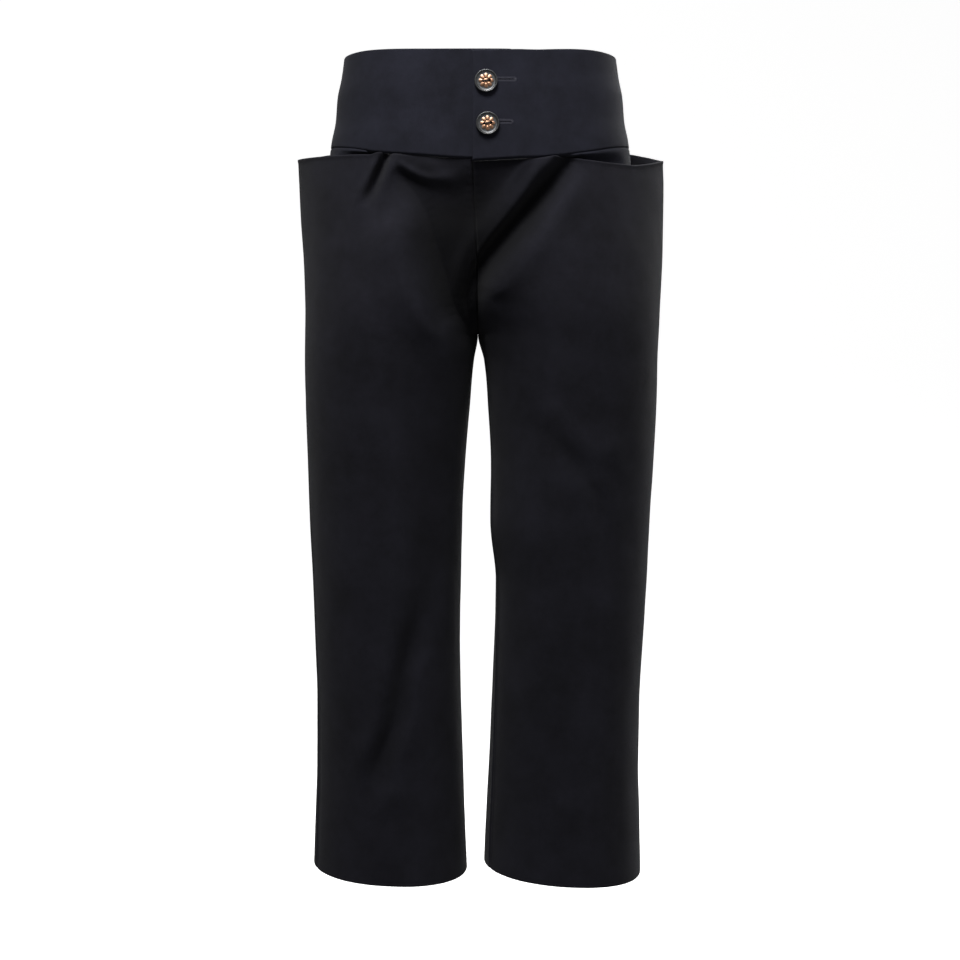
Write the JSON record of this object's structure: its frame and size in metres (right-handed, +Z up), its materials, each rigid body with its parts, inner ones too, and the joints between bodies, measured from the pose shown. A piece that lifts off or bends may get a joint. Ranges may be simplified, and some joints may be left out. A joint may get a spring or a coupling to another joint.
{
  "type": "worn dress trousers on an unseen wearer",
  "caption": "High-waisted cropped dress trousers in the hollow form they are worn in, with a deep waistband, stand-away hip pockets and straight legs.",
  "frame": {"origin": "centre of the waistband ring, 50 mm below its top edge, where the wearer's waist holds the trousers up", "axes": "+Z up, -Y out of the front, +X towards the wearer's left"},
  "size_m": [0.3626, 0.2283, 0.8107],
  "materials": {
    "leg_cloth": "matte twill",
    "band_cloth": "matte twill",
    "button_metal": "satin"
  },
  "bodies": {
    "root": {"waistband_front_left": "band_cloth", "waistband_front_right": "band_cloth", "waistband_back": "band_cloth", "front_left": "leg_cloth", "front_right": "leg_cloth", "back_left": "leg_cloth", "back_right": "leg_cloth", "hip_yoke_left": "leg_cloth", "hip_yoke_right": "leg_cloth", "fly_underlap": "leg_cloth", "button_upper": "button_metal", "button_lower": "button_metal"}
  },
  "joints": []
}
